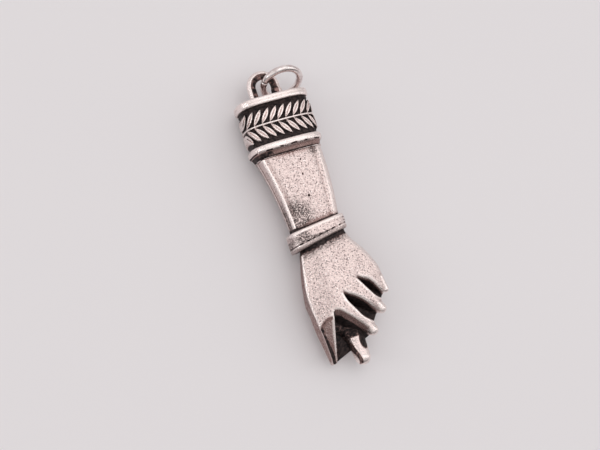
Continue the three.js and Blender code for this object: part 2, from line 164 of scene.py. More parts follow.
# Its faces, and for its left and right edge the bevel and how softly it blends
FACE_CROWN = 0.012
FACE_BLEND = 0.25
BACK_DRAFT = 0.24
FRONT_DRAFT = 0.1
BEVEL = (0.38, 1.1)
BEVEL_BLEND = (0.3, 0.5)

# The raised line that the halves of the mould left along its sides
ARM_FLASH_HEIGHT = 0.1
ARM_FLASH_PLACE = 0.2
ARM_FLASH_WIDTH = 0.13

# The shallow flutes on both sides of its front panel
FLUTE_INSET = 1.23
FLUTE_SHIFT = 0.47
FLUTE_DEPTH = 0.14
FLUTE_WIDTH = 0.48

# Small pits in the casting: x, y and radius
CASTING_PITS = ((0.51, -16.99, 0.2), (0.92, -11.15, 0.14), (0.56, -13.43, 0.12))

# The bands of painted shade over the flutes, their width and share on the left and the right, and the
# height of a painted dark line of shade on the left
FLUTE_SHADE_SHIFT = 0.15
FLUTE_SHADE_FOOT = -19.5
FLUTE_SHADE_WIDTH = (0.6, 0.36)
FLUTE_SHADE_SHARE = (0.27, 0.22)
LEFT_SHADE_LINE = 0.5


def arm_profile(y):
    """Half width, half depth and middle of the forearm."""
    share = np.clip((ARM_TOP - y) / ARM_LENGTH, 0, 1)
    half_x = ARM_TOP_HALF[0] + (WRIST_HALF[0] - ARM_TOP_HALF[0]) * share
    half_z = ARM_TOP_HALF[1] + (WRIST_HALF[1] - ARM_TOP_HALF[1]) * share
    return half_x, half_z, ARM_LEAN * share + ARM_BOW * np.sin(math.pi * share)


def beside_flute(x, y):
    """Distance across from the nearer flute."""
    half_x, _, middle = arm_profile(y)
    return np.abs(x - middle + FLUTE_SHIFT) - (half_x - FLUTE_INSET)


def forearm(x, y, z):
    half_x, half_z, middle = arm_profile(y)
    across = np.abs(x - middle)
    up = np.abs(z)
    on_left = x < middle
    flash = ARM_FLASH_HEIGHT * bell(z - ARM_FLASH_PLACE, ARM_FLASH_WIDTH)
    side = across - half_x + np.where(z < 0, BACK_DRAFT, FRONT_DRAFT) * up - flash
    flute = FLUTE_DEPTH * bell(beside_flute(x, y), FLUTE_WIDTH)
    face = up - half_z + FACE_CROWN * across ** 2 + flute
    bevel = (across + up - (half_x + half_z) + np.where(on_left, *BEVEL)) / math.sqrt(2)
    shape = smooth_max(smooth_max(side, face, FACE_BLEND), bevel, np.where(on_left, *BEVEL_BLEND))
    for pit_x, pit_y, radius in CASTING_PITS:
        shape = np.maximum(shape, -ball(x, y, up - half_z, pit_x, pit_y, 0, radius))
    return most(shape, y - ARM_TOP, HAND_TOP - ARM_OVERLAP - y)


def forearm_marks(x, y, z):
    """Painted shade over the flutes, along the left edge and on the left side, the dark pits, and a painted
    shadow at the top, under the cap.
    """
    on_left = x < arm_profile(y)[2]
    # Bands of painted shade over the flutes
    band = bell(beside_flute(x, y) + FLUTE_SHADE_SHIFT, np.where(on_left, *FLUTE_SHADE_WIDTH))
    band = np.where(on_left, *FLUTE_SHADE_SHARE) * band * (y > FLUTE_SHADE_FOOT) * (z > 1)
    # Painted shade: a dark line by the left edge, the left side wall, and a shadow at the top under the cap
    left_shade_line = 0.6 * within(z - LEFT_SHADE_LINE, full=0.05, none=0.16) * on_left
    left_side_shade = 0.3 * smooth_step(0.2, -0.1, z) * on_left
    top = 0.95 * smooth_step(-0.3, -0.05, y - ARM_TOP)
    share = most(band, left_shade_line, left_side_shade, top)
    for pit_x, pit_y, radius in CASTING_PITS:
        from_pit = np.hypot(x - pit_x, y - pit_y)
        share = np.maximum(share, within(from_pit, full=radius * 0.4, none=radius + 0.08) * (z > 0))
    return share


# The cuff round the wrist, deeper at its right end

CUFF_SLANT = 0.11
CUFF_GROWTH = 0.6
CUFF_FOOT_SLANT = CUFF_SLANT + CUFF_GROWTH / (2 * WRIST_HALF[0])
CUFF_HEIGHT = 2.8
CUFF_WALL = 0.62
CUFF_POWER = 3.6
CUFF_ROUND = 0.45
CUFF_INSIDE = 0.35
GROOVE_RISE = 0.85
GROOVE_HALF = 0.07
GROOVE_DEPTH = 0.09
NOTCH_RISES = (1.25, 1.75)
NOTCH_START = 4.6


def cuff_rise(x, y):
    """Height above the cuff's lower edge."""
    return y - (CUFF_TOP - CUFF_HEIGHT + CUFF_FOOT_SLANT * (x - ARM_LEAN))


def from_cuff(x, y):
    """Height above the line where the hand starts, just inside the cuff's lower edge."""
    return y - CUFF_FOOT_SLANT * (x - ARM_LEAN) - HAND_TOP


def wrist_cuff(x, y, z):
    across = x - ARM_LEAN
    wall = power_section(across, z, WRIST_HALF[0] + CUFF_WALL, WRIST_HALF[1] + CUFF_WALL, CUFF_POWER)
    top = y - (CUFF_TOP + CUFF_SLANT * across)
    rise = cuff_rise(x, y)
    shape = smooth_max(wall, np.maximum(top, -rise), CUFF_ROUND)
    groove = np.maximum(np.abs(rise - GROOVE_RISE) - GROOVE_HALF, -(wall + GROOVE_DEPTH))
    half_x, half_z, middle = arm_profile(y)
    inside = power_section(x - middle, z, half_x, half_z, ARM_POWER) + CUFF_INSIDE
    return most(shape, -groove, -inside)


def cuff_marks(x, y, z):
    """A row of dark strokes in the groove, two notches at the right end and painted shade along the lower
    edge.
    """
    rise = cuff_rise(x, y)
    strokes = smooth_step(0.1, 0.5, np.sin(x * 5.5) + 0.6 * np.sin(x * 13 + y))
    line = within(rise - GROOVE_RISE, full=0.07, none=0.16) * strokes
    notches = most(*(within(rise - notch, full=0.03, none=0.09) for notch in NOTCH_RISES))
    # Painted shade along the cuff's lower edge
    edge = 0.42 * smooth_step(0.75, 0.5, rise)
    return most(line, 0.9 * notches * (x > NOTCH_START), edge)


# The hand, with x from the middle of the wrist and y from just inside the cuff's lower edge

# Heights of its front and back, its left and right outline, and how they fall away
FRONT = smoothed([0.8, -2.1, -4.1, -7.1, -9.1, -12.1, -16.1], [2.18, 2.6, 2.85, 3.05, 3.05, 2.95, 2.7])
BACK = smoothed([0.8, -1.5, -3.6], [2.18, 2.2, 2.9])
LEFT = smoothed([0.8, -1.1, -5.6, -7.8, -10, -12.8, -14.5, -16.5, -19.1],
                [-3.8, -3.75, -4.6, -4.95, -4.95, -4.6, -4.4, -4.0, -3.6])
LEFT_DRAFT = smoothed([-2, -5.6, -9, -12.5], [0.2, 0.2, 0.05, -0.2])
LEFT_FALL = smoothed([-0.1, -6.1], [0.13, 0.084])
RIGHT = smoothed([0.8, -0.1, -1.6, -3.5, -6.5, -8.5, -11.1],
                 [3.8, 4.05, 4.7, 6.1, 7.7, 8.15, 8.35])
RIGHT_FALL = 0.01
PALM_CROWN = 0.05
WRIST_END = 0.8

# How far the row of fingertips and the end of the fist reach, each along its own way,
# and from where the front falls towards the fingertips
TIPS_WAY = (0.8, -0.6)
TIPS_REACH = 12.5
FIST_WAY = (0.342, -0.94)
FIST_REACH = 16.95
TIPS_FALL_START = 5.2
TIPS_FALL = 0.033

# How much faster than the distance the heights of its front and right side change
FRONT_SLOPE = 1.15
RIGHT_SLOPE = 1.087

# The parting line of the mould along its left side
PARTING = 0.9
HAND_FLASH_HEIGHT = 0.13
HAND_FLASH_PLACE = 0.95
HAND_FLASH_WIDTH = 0.17

# How softly each wall of the fist meets the one before
SIDE_BLEND = 0.16
RIGHT_BLEND = 1.0
TIPS_BLEND = 0.5
FIST_BLEND = 0.4
BACK_BLEND = 0.8

# Each slot between two fingers: its near and far edge, the width of its bevel and its floor
SLOTS = (
    ([(2.85, -7.2), (4.3, -9.5), (5.8, -11.3), (8.3, -12.5)],
     [(2.85, -7.1), (5.65, -8.42), (7.7, -11.22), (8.7, -12.6)], 0.27, 0.1),
    ([(0.05, -8.8), (0.5, -10.6), (2.6, -13.75), (5.8, -15.9)],
     [(0.05, -8.8), (3.2, -10.75), (6.6, -14.6)], 0.27, -0.1),
    ([(-2.1, -11.4), (-3.45, -19.1)],
     [(-3.6, -11.2), (-1.1, -11.35), (1.25, -13.5), (4.6, -17.1)], 0.58, -1.3),
)

# Where the floor of a slot starts and how soon it is down, how softly its walls meet, and
# how much the near wall, the far wall and the bevel beside it lean
SLOT_TOP = 3
SLOT_RUN_IN = 2.2
LEAST_DEPTH = -0.5
SLOT_BLEND = 0.3
SLOT_ROUND = 0.22
NEAR_DRAFT = 0.12
FAR_DRAFT = 0.35
FAR_BEVEL = 1.1
FAR_BLEND = 0.15

# The fingertips: x, y, z, radius and how far the joint leans across
FINGERTIPS = ((7.76, -10.55, 0.4, 0.58, 0.4), (6.1, -13.25, 0.45, 0.84, 1.25),
              (3.66, -16.05, 0.4, 0.9, 1.25))

# The joint of a finger: how far up and out from the tip it starts, and its share of the radius
JOINT_UP = 2
JOINT_OUT = 0.45
JOINT_SHARE = 0.9

# The rest of a finger, folded to the palm: where it starts beside the tip, its share of the
# radius there, and its other stations, as x, y and z from the tip with the radius
FOLD_ACROSS = -0.2
FOLD_UP = 0.3
FOLD_SHARE = 0.75
FOLD = ((-0.5, 0.6, -1.9, 0.96), (-1.8, 2.8, -3, 1.1), (-2.7, 4.6, -2.5, 0.9))
FINGER_BLEND = 0.3

# The thumb and the folded end of the index finger: stations of x, y, z and radius
THUMB = ((-2.0, -2.1, -1.1, 1.6), (-2.3, -5.6, -1.6, 2.1), (-2.85, -9.4, -1.75, 2.15),
         (-2.7, -12.6, -1.8, 1.9), (-0.4, -14.2, -1.9, 1.4), (0.92, -16.1, -0.95, 1.48),
         (0.94, -19.6, -0.4, 1.24))
THUMB_BLEND = 0.15
INDEX_FOLD = ((-3.05, -18.1, -1.5, 0.75), (-2.65, -16.5, -2.3, 1.1), (-1.95, -14.1, -2.75, 1.1),
              (-1.35, -11.9, -2.4, 0.95))

# The slanting flat where the index finger bends: a point of it, and its slopes across and up
FACET_PLACE = (-2.3, -12.3, 2.5)
FACET_SLOPE = (0.45, 0.33)
FACET_BLEND = 0.15


def hand_front(x, y):
    """Height of the back of the hand and the fingers, before the slots are cut."""
    beyond = np.maximum(TIPS_WAY[0] * x + TIPS_WAY[1] * y - TIPS_FALL_START, 0)
    left = np.minimum(x, 0)
    right = np.maximum(x, 0)
    return FRONT(y) - LEFT_FALL(y) * left ** 2 - RIGHT_FALL * right ** 2 - TIPS_FALL * beyond ** 2


def mitten(x, y, z):
    """The closed form of palm and fingers."""
    ragged = 1 + 0.4 * np.sin(7.1 * y) * np.sin(4.3 * y + 1)
    flash = HAND_FLASH_HEIGHT * ragged * bell(z - HAND_FLASH_PLACE, HAND_FLASH_WIDTH)
    side = LEFT(y) + LEFT_DRAFT(y) * np.maximum(PARTING - z, 0) - flash - x
    right = (x - RIGHT(y)) / RIGHT_SLOPE
    tips = TIPS_WAY[0] * x + TIPS_WAY[1] * y - TIPS_REACH
    end = FIST_WAY[0] * x + FIST_WAY[1] * y - FIST_REACH
    back = -z - BACK(y) + PALM_CROWN * x ** 2
    shape = (z - hand_front(x, y)) / FRONT_SLOPE
    for wall, blend in ((side, SIDE_BLEND), (right, RIGHT_BLEND), (tips, TIPS_BLEND),
                        (end, FIST_BLEND), (back, BACK_BLEND)):
        shape = smooth_max(shape, wall, blend)
    return np.maximum(shape, y - WRIST_END)


def side_of(x, y, start, end):
    """Distance to the left of a line in plan."""
    dx, dy = end[0] - start[0], end[1] - start[1]
    return (dx * (y - start[1]) - dy * (x - start[0])) / math.hypot(dx, dy)


def slot(x, y, z, near, far, flank, floor):
    """Positive inside a slot that widens from the first point of both its edges."""
    depth = np.maximum(hand_front(x, y) - z, LEAST_DEPTH)
    inner = FAR
    for start, end in zip(near, near[1:]):
        inner = smooth_min(inner, side_of(x, y, start, end) - NEAR_DRAFT * depth, SLOT_BLEND)
    for start, end in zip(far, far[1:]):
        beside = -side_of(x, y, start, end)
        wall = beside - FAR_DRAFT * depth - flank
        bevel = (beside - FAR_BEVEL * depth) / math.hypot(1, FAR_BEVEL)
        inner = smooth_min(inner, smooth_max(wall, bevel, FAR_BLEND), SLOT_BLEND)
    gone = np.hypot(x - near[0][0], y - near[0][1])
    bottom = floor + (SLOT_TOP - floor) * np.clip(1 - gone / SLOT_RUN_IN, 0, 1) ** 2
    return smooth_min(inner, z - bottom, SLOT_BLEND)


def finger(tip):
    """A bent finger: the joint that ends in the tip, and the rest folded to the palm."""
    x, y, z, radius, lean = tip
    joint = limb([(x - lean, y + JOINT_UP, z + JOINT_OUT, radius * JOINT_SHARE), (x, y, z, radius)])
    start = (x + FOLD_ACROSS, y + FOLD_UP, z, radius * FOLD_SHARE)
    folded = limb([start] + [(x + dx, y + dy, z + dz, thick) for dx, dy, dz, thick in FOLD])
    return lambda *place: np.minimum(joint(*place), folded(*place))


def index_facet(x, y, z):
    """Distance above the flat where the index finger bends."""
    rise = FACET_SLOPE[0] * (x - FACET_PLACE[0]) + FACET_SLOPE[1] * (y - FACET_PLACE[1])
    return (z - FACET_PLACE[2] - rise) / math.hypot(1, *FACET_SLOPE)


def hand(x, y, z):
    shape = mitten(x, y, z)
    for cut in SLOTS:
        shape = smooth_max(shape, slot(x, y, z, *cut), SLOT_ROUND)
    shape = smooth_max(shape, index_facet(x, y, z), FACET_BLEND)
    for tip in FINGERTIPS:
        shape = smooth_min(shape, finger(tip)(x, y, z), FINGER_BLEND)
    shape = smooth_min(shape, limb(INDEX_FOLD)(x, y, z), FINGER_BLEND)
    return smooth_min(shape, limb(THUMB)(x, y, z), THUMB_BLEND)


# Marks on the hand

# How dark the painted reflection on a slot's bevel is, how far below its floor a slot still marks, the top
# of the facet and of its ridge, the thumb's end with the painted shade of its nail and strip, and the
# painted shade line down the left side
BEVEL_REFLECTION = 0.49
WEB_DROP = 1.2
PALM_DROP = 1
FACET_TOP = -12.0
RIDGE_TOP = -12.2
THUMB_END = THUMB[4:]
THUMB_SKIN = 0.12
NAIL_MIDDLE = (1.65, -17.15)
NAIL_HALF = (0.74, 1.4)
STRIP_BEND = (-16.8, -20.4)
STRIP_START = -0.4
STRIP_SHIFT = 0.7
SIDE_SHADE_LINE = 0.62
SIDE_SHADE_LINE_FOOT = -12


def slot_marks(x, y, z):
    """Painted brown reflection on the bevel beside a slot, black on its walls and floor, neither on a
    fingertip.
    """
    depth = hand_front(x, y) - z
    share = np.float32(0)
    for near, far, flank, floor in SLOTS[:2]:
        web = slot(x, y, z, near, far, flank, floor - WEB_DROP)
        share = np.maximum(share, smooth_step(0.04, 0.2, web))
    for near, far, flank, floor in SLOTS:
        on_cut = within(slot(x, y, z, near, far, flank, floor), full=0.05, none=0.2)
        turn = flank / (FAR_BEVEL - FAR_DRAFT)
        below_turn = smooth_step(0.8 * turn, turn + 0.35, depth)
        # A painted reflection in brown on the bevel, black below the turn
        black = BEVEL_REFLECTION * smooth_step(0.02, 0.2, depth) + (1 - BEVEL_REFLECTION) * below_turn
        beside_near = FAR
        for start, end in zip(near, near[1:]):
            beside_near = np.minimum(beside_near, side_of(x, y, start, end) - NEAR_DRAFT * depth)
        near_wall = smooth_step(0.25, 0.1, beside_near) * smooth_step(0.03, 0.4, depth)
        share = np.maximum(share, on_cut * np.maximum(black, near_wall))
    for *tip, _ in FINGERTIPS:
        share = share * smooth_step(0.05, 0.28, ball(x, y, z, *tip))
    return share


def facet_marks(x, y, z):
    """The flat of the index finger gets a painted brown reflection, with a painted black line of shade
    along its top and left.
    """
    below = hand_front(x, y) - z
    on_facet = within(index_facet(x, y, z), full=0.03, none=0.12) * smooth_step(-0.5, -1.1, x)
    on_facet = on_facet * (y < FACET_TOP) * smooth_step(-0.1, 0.1, below)
    border_shade = np.maximum(smooth_step(0.14, 0.03, below), smooth_step(0.38, 0.22, x - LEFT(y)))
    patches = 0.5 + 0.5 * np.sin(4.1 * y + 2 * x) * np.sin(2.3 * y)
    return on_facet * (0.4 + 0.1 * smooth_step(-14.5, -17, y) + (0.3 + 0.3 * patches) * border_shade)


def facet_ridge(x, y, z):
    """1 on the edge between the flat of the index finger and the slot beside it."""
    on_ridge = within(index_facet(x, y, z), full=0.05, none=0.14) * (y < RIDGE_TOP) * (x < -1.2)
    return on_ridge * within(slot(x, y, z, *SLOTS[2]), full=0.14, none=0.34)


def on_thumb(x, y, z, top):
    """1 on the end of the thumb, below a height."""
    return (limb(THUMB_END)(x, y, z) < THUMB_SKIN) * (y < top)


def thumb_marks(x, y, z):
    """Painted shade: a dark patch where the nail would be, a dark strip down the left, and dark where the
    thumb leaves the hollow.
    """
    from_nail = np.hypot((x - NAIL_MIDDLE[0]) / NAIL_HALF[0], (y - NAIL_MIDDLE[1]) / NAIL_HALF[1])
    nail = 0.95 * smooth_step(1.15, 0.75, from_nail) * (z > -0.6)
    axis = STRIP_START + STRIP_SHIFT * smooth_step(*STRIP_BEND, y)
    strip = within(x - axis, full=0.2, none=0.36) * smooth_step(-16.7, -17.3, y)
    strip = 0.75 * strip * smooth_step(-20.75, -20.35, y) * (z > -1.5)
    start = 0.8 * smooth_step(-16.6, -15.8, y)
    return on_thumb(x, y, z, top=-15.9) * most(nail, strip, start)


def hand_marks(x, y, z):
    share = np.maximum(slot_marks(x, y, z), facet_marks(x, y, z))
    share = share * (1 - 0.8 * facet_ridge(x, y, z))
    # Painted shade in the hollow beside the thumb, off the thumb's end
    near, far, flank, floor = SLOTS[2]
    below_floor = smooth_step(-0.1, 0.25, slot(x, y, z, near, far, flank, floor - PALM_DROP))
    hollow_shade = 0.8 * below_floor * smooth_step(-18.6, -17.2, y - 0.8 * x)
    share = most(share, hollow_shade * (1 - on_thumb(x, y, z, top=-16.2)), thumb_marks(x, y, z))
    # Painted shade on the left side wall, and a painted dark line of shade below the parting line
    beside = smooth_step(1.0, 0.6, x - LEFT(y))
    left_side_shade = 0.42 * smooth_step(0.8, 0.5, z) * beside
    side_shade_line = 0.66 * within(z - SIDE_SHADE_LINE, full=0.1, none=0.25) * beside * (y > SIDE_SHADE_LINE_FOOT)
    return most(share, left_side_shade, side_shade_line) * smooth_step(-0.4, -1.2, y)


# The arm and hand in one casting

# Places of the dark patches, each with its reach
SMUDGES = ((-2.9, -18.9, 1.8), (-1.5, -19.6, 1.5), (-3.0, -20.7, 1.3), (-2.9, -22.8, 1.2),
           (-2.6, -23.6, 0.9), (3.5, -10.0, 0.8))
SMUDGE_STRENGTH = 1.3
WRIST_BLEND = 0.4
FLOOR_BLEND = 0.1


def arm_and_hand(x, y, z):
    fist = hand(x - ARM_LEAN, y - HAND_TOP, z)
    shape = smooth_min(forearm(x, y, z), fist, WRIST_BLEND)
    return smooth_max(shape, -z - REST, FLOOR_BLEND)


def arm_marks(x, y, z):
    """How dark a point on the arm is from its place."""
    on_hand = hand_marks(x - ARM_LEAN, y - HAND_TOP, z)
    # A painted shadow of the cuff on the hand, with a ragged edge
    uneven = 0.14 * np.sin(3.3 * x + 1) * np.sin(1.7 * x) + 0.05 * np.sin(9 * x)
    painted_cuff_shadow = 0.95 * smooth_step(-1.2, -0.85, from_cuff(x, y) + uneven)
    return np.where(y > CUFF_TOP, forearm_marks(x, y, z), np.maximum(on_hand, painted_cuff_shadow))


def smudges_and_cuff_shadow(x, y, z):
    """Rough dark patches where the casting stayed black, and a painted shadow on the hand below the cuff.
    """
    total = 0
    for spot_x, spot_y, reach in SMUDGES:
        total = total + bell(np.hypot(x - spot_x, y - spot_y), reach)
    total = SMUDGE_STRENGTH * total * (z > 0)
    # A painted shadow on the hand below the cuff
    painted_shadow_below_cuff = smooth_step(-2.3, -1.0, from_cuff(x, y)) * (y < HAND_TOP + WRIST_END)
    return np.clip(np.maximum(total, painted_shadow_below_cuff), 0, 1)


# The collar cap: its band with a frieze of leaves on a stem, between two rims, over a cove

TOP_RIM = 1.25
LOW_RIM = 1.05
BAND_TOP = -TOP_RIM
BAND_FOOT = LOW_RIM - CAP_HEIGHT
BAND_MIDDLE = -4.45
RIM_CROWN = 0.16
RIM_CROWN_MOST = 0.2
COVE_DROP = 0.5
COVE_POWER = 0.6
CAP_ROUND = 0.3
CAP_FLOOR_BLEND = 0.08
RIM_LINE = 0.78 * BAND_TOP

# Depths of the frieze's ground, of the plain panels beside it and of the leaves, the edges of
# the panels, and the step that runs above the leaves
RECESS = 0.5
PANEL_INSET = 0.22
LEAF_INSET = 0.1
WINDOW_HALF = 7.25
PANEL_TOP = BAND_TOP - 0.75
PANEL_FOOT = BAND_FOOT + 0.45
STEP_LINE = BAND_TOP - 0.42
STEP_HEIGHT = 0.12
SOFT = 0.08

# The leaves, the stem between them and the veins
LEAF_COUNT = 11
LEAF_PITCH = 1.3
LEAF_LENGTH = 3.0
LEAF_WIDTH = 0.86
LEAF_SLANT = math.radians(37)
STEM_WIDTH = 0.4
VEIN_HALF = 0.34 * LEAF_LENGTH
VEIN_DEPTH = 0.4


def band_along(x):
    """Distance along the band's outline from the middle of its face."""
    places = np.linspace(0, CAP_HALF_WIDTH, 800)
    depths = CAP_HALF_DEPTH * np.clip(1 - (places / CAP_HALF_WIDTH) ** CAP_POWER, 0, 1) ** (1 / CAP_POWER)
    gone = np.concatenate([[0], np.cumsum(np.hypot(np.diff(places), np.diff(depths)))])
    return np.interp(np.abs(x), places, gone) * np.sign(x)


def leaf_shape(across, up, width, height):
    """Distance from a pointed leaf."""
    radius = (width * width + height * height) / (4 * width)
    return np.hypot(np.abs(across) + radius - width / 2, up) - radius


def frieze_height(along, y):
    """How far the leaves and stem stand up from the ground, from 0 to 1."""
    up = np.abs(y - BAND_MIDDLE)
    best = up - STEM_WIDTH / 2
    vein = FAR
    rise = STEM_WIDTH / 4 + math.cos(LEAF_SLANT) * LEAF_LENGTH / 2
    for index in range(LEAF_COUNT):
        across = along - (index - (LEAF_COUNT - 1) / 2) * LEAF_PITCH
        lift = up - rise
        axis = across * math.sin(LEAF_SLANT) + lift * math.cos(LEAF_SLANT)
        beside = across * math.cos(LEAF_SLANT) - lift * math.sin(LEAF_SLANT)
        best = np.minimum(best, leaf_shape(beside, axis, LEAF_WIDTH, LEAF_LENGTH))
        vein = np.minimum(vein, np.maximum(np.abs(beside), np.abs(axis) - VEIN_HALF))
    return smooth_step(0.07, -0.12, best) - VEIN_DEPTH * smooth_step(0.12, 0.03, vein)


def rim_crown(y, foot, width, power):
    """How far a rim's rounded face falls away to its edges."""
    return RIM_CROWN * np.abs((y - foot - width / 2) / (width / 2)) ** power


def cap_recess(x, y):
    """How far the surface lies below the full outline at a height on the cap."""
    along = band_along(x)
    below_top = smooth_step(BAND_TOP + SOFT / 2, BAND_TOP - SOFT, y)
    in_band = below_top * smooth_step(BAND_FOOT - SOFT / 2, BAND_FOOT + SOFT, y)
    window = smooth_step(WINDOW_HALF + SOFT, WINDOW_HALF - SOFT, np.abs(along))
    in_panel = smooth_step(0.05, -0.05, np.maximum(y - PANEL_TOP, PANEL_FOOT - y))
    ground = RECESS - (RECESS - PANEL_INSET) * in_panel * (1 - window)
    ground = ground - STEP_HEIGHT * within(y - STEP_LINE, full=0.05, none=0.14)
    band = ground + (LEAF_INSET - ground) * frieze_height(along, y) * window
    top_crown = rim_crown(y, BAND_TOP, TOP_RIM, 4) * (y > BAND_TOP)
    low_crown = rim_crown(y, -CAP_HEIGHT, LOW_RIM, 3) * (y < BAND_FOOT)
    crown = np.minimum(top_crown + low_crown, RIM_CROWN_MOST)
    return band * in_band + crown * (1 - in_band)


def collar_cap(x, y, z):
    shape = power_section(x, z, CAP_HALF_WIDTH, CAP_HALF_DEPTH, CAP_POWER) + cap_recess(x, y)
    cove_share = np.clip((-CAP_HEIGHT - y) / COVE_HEIGHT, 0, 1)
    shape = shape + COVE_DROP * cove_share ** COVE_POWER
    shape = smooth_max(shape, -z - REST, CAP_FLOOR_BLEND)
    return smooth_max(shape, np.maximum(y, ARM_TOP - y), CAP_ROUND)


def cap_marks(x, y, z):
    """The ground of the frieze is black, with dashes along the rims; the cove gets painted shade, darker to
    the left, and the foot a painted shadow where the arm goes in.
    """
    rise = y + CAP_HEIGHT
    ground = smooth_step(0.26, 0.4, cap_recess(x, y)) * smooth_step(0, 0.5, rise)
    # Painted shade in the cove, darker to the left, and a painted shadow at the foot where the arm meets
    # the cap
    cove = (0.5 + 0.35 * smooth_step(-1, -5, x)) * smooth_step(0.05, -0.25, rise)
    contact_shadow = 0.92 * smooth_step(0.28, 0.05, y - ARM_TOP)
    dashes = smooth_step(-0.5, 0.4, np.sin(3.1 * x) + 0.6 * np.sin(7.7 * x + 1) + 0.4 * np.sin(17 * x))
    rim_foot = 0.06 + 0.05 * np.sin(2.3 * x)
    foot_line = 0.85 * dashes * within(rise - rim_foot, full=0.06, none=0.17)
    patches = smooth_step(-0.6, 0.5, np.sin(1.3 * x + 0.4))
    top_line = 0.34 * patches * within(y - RIM_LINE, full=0.1, none=0.3)
    return most(ground, cove, contact_shadow, foot_line, top_line)


# The loop on the cap: a flattened arch with hollowed faces and a lump at its right foot

LOOP = Vector((-0.35, 2.12, 0.0))
LOOP_RADIUS = 1.975
LOOP_WIRE = 0.725
LOOP_HALF_DEPTH = 0.66
HOLLOW_RADIUS = 0.26
HOLLOW_INWARD = 0.1
HOLLOW_HEIGHT = 0.68
HOLLOW_BLEND = 0.12
FLARE = 0.25
FLARE_HEIGHT = 0.9
LUMP = (1.55, 1.0, 0.25, 0.85)
LUMP_BLEND = 0.3


def from_arch(x, y):
    """Distance outward from the middle of the loop's wire, in plan."""
    return np.hypot(x - LOOP.x, np.maximum(y - LOOP.y, 0)) - LOOP_RADIUS


def eye_loop(x, y, z):
    beside = from_arch(x, y)
    arch = (np.hypot(beside / LOOP_WIRE, z / LOOP_HALF_DEPTH) - 1) * LOOP_HALF_DEPTH
    hollow = HOLLOW_RADIUS - np.hypot(beside + HOLLOW_INWARD, np.abs(z) - HOLLOW_HEIGHT)
    flare = FLARE * smooth_step(FLARE_HEIGHT, 0.0, y)
    arch = smooth_max(arch, hollow, HOLLOW_BLEND) - flare
    return np.maximum(smooth_min(arch, ball(x, y, z, *LUMP), LUMP_BLEND), -y)


def loop_marks(x, y, z):
    """Black lies on the loop's inner side and round its feet, and patches of grey elsewhere."""
    inner = smooth_step(0.3, -0.1, from_arch(x, y))
    rough = 0.2 + 0.16 * np.sin(4.1 * x + 2 * y) * np.sin(3.7 * y + 1)
    return np.clip(rough + 0.55 * inner + 0.9 * smooth_step(0.55, 0.15, y), 0, 0.9)


# The bead of solder under the cap, thicker towards the right

SEAM_INSET = 0.05
SEAM_RADIUS = 0.1
SEAM_LUMPS = 0.14


def solder_seam(x, y, z):
    half_x, half_z, middle = arm_profile(y)
    around = power_section(x - middle, z, half_x - SEAM_INSET, half_z - SEAM_INSET, ARM_POWER)
    lumps = 0.5 + 0.5 * np.sin(x * 3.1 + 1.2 * np.sin(z * 2.3)) * np.sin(x * 1.3 - z + 0.6)
    radius = SEAM_RADIUS + SEAM_LUMPS * lumps * smooth_step(-3, 4, x)
    bead = np.hypot(np.maximum(around, 0), y - ARM_TOP) - radius
    return np.maximum(bead, y - ARM_TOP)


# Turning fields into meshes

CORNERS = [(i, j, k) for i in (0, 1) for j in (0, 1) for k in (0, 1)]


class Field:
    """Distances sampled on a regular grid."""

    def __init__(self, low, high, step):
        self.low = np.array(low, np.float64)
        self.step = step
        counts = np.ceil((np.array(high) - self.low) / step).astype(int) + 1
        self.axes = [(self.low[i] + step * np.arange(counts[i])).astype(np.float32) for i in range(3)]
        self.value = np.full(counts, FAR, np.float32)

    def join(self, shape, low, high):
        """Adds a shape, worked out only inside a box around it."""
        window = tuple(slice(*np.searchsorted(self.axes[i], (low[i], high[i]))) for i in range(3))
        x, y, z = (self.axes[i][window[i]] for i in range(3))
        part = shape(x[:, None, None], y[None, :, None], z[None, None, :])
        self.value[window] = np.minimum(self.value[window], part)
        return self

    def at(self, points, grid=None):
        """Reads the grid between its points."""
        grid = self.value if grid is None else grid
        place = (points - self.low) / self.step
        base = np.clip(np.floor(place).astype(int), 0, np.array(grid.shape) - 2)
        share = place - base
        total = np.zeros(len(points), np.float32)
        for i, j, k in CORNERS:
            weight = (np.abs(1 - i - share[:, 0]) * np.abs(1 - j - share[:, 1])
                      * np.abs(1 - k - share[:, 2]))
            total += weight * grid[base[:, 0] + i, base[:, 1] + j, base[:, 2] + k]
        return total


def crossed_cells(inside):
    """The grid's cells with corners both inside and outside, and a grid of their numbers."""
    width, height, depth = (points - 1 for points in inside.shape)
    count = np.zeros((width, height, depth), np.uint8)
    for i, j, k in CORNERS:
        count += inside[i:i + width, j:j + height, k:k + depth]
    active = (count > 0) & (count < len(CORNERS))
    cells = np.argwhere(active)
    index = np.full(active.shape, -1, np.int64)
    index[active] = np.arange(len(cells))
    return cells, index


def cell_points(field, cells):
    """In each cell, the middle of the places where the surface crosses its edges."""
    value = field.value
    total = np.zeros((len(cells), 3))
    hits = np.zeros(len(cells))
    for start in CORNERS:
        for axis in range(3):
            if start[axis]:
                continue
            end = list(start)
            end[axis] = 1
            a = value[cells[:, 0] + start[0], cells[:, 1] + start[1], cells[:, 2] + start[2]]
            b = value[cells[:, 0] + end[0], cells[:, 1] + end[1], cells[:, 2] + end[2]]
            crossed = (a < 0) != (b < 0)
            share = np.where(crossed, a / np.where(crossed, a - b, 1), 0)
            place = np.array(start, np.float64) + share[:, None] * (np.array(end) - np.array(start))
            total += place * crossed[:, None]
            hits += crossed
    return field.low + field.step * (cells + total / hits[:, None])


